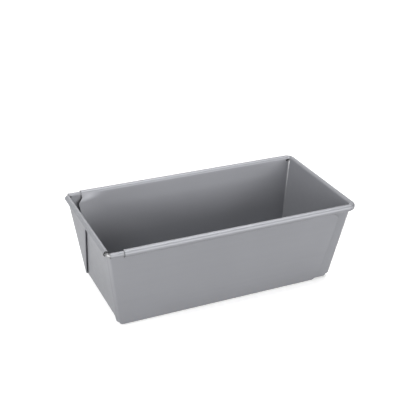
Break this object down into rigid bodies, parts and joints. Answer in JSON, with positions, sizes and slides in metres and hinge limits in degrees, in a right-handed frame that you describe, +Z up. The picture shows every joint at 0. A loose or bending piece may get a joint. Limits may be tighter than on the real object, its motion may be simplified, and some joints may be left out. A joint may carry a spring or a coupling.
{
  "type": "adjustable loaf pan",
  "caption": "Extendable loaf tin: two folded sheet halves slide on their rolled rims, with sloping walls and envelope-folded ends.",
  "frame": {"origin": "under the middle of the pan as it is pushed together, on the plane that it stands on", "axes": "+X along the pan, towards the half that slides out; +Y across; +Z up"},
  "size_m": [0.21, 0.11, 0.072],
  "materials": {
    "silver_grey_coating": "satin silver-grey coating on steel sheet",
    "bright_steel": "plain bright wire"
  },
  "bodies": {
    "outer_half": {"outer_pan": "silver_grey_coating", "outer_rim_wire": "bright_steel"},
    "inner_half": {"inner_pan": "silver_grey_coating", "inner_rim_wire": "bright_steel"}
  },
  "joints": [
    {"name": "extend", "type": "slide", "parent": "outer_half", "child": "inner_half", "axis": [1, 0, 0], "range_m": [0, 0.136]}
  ]
}
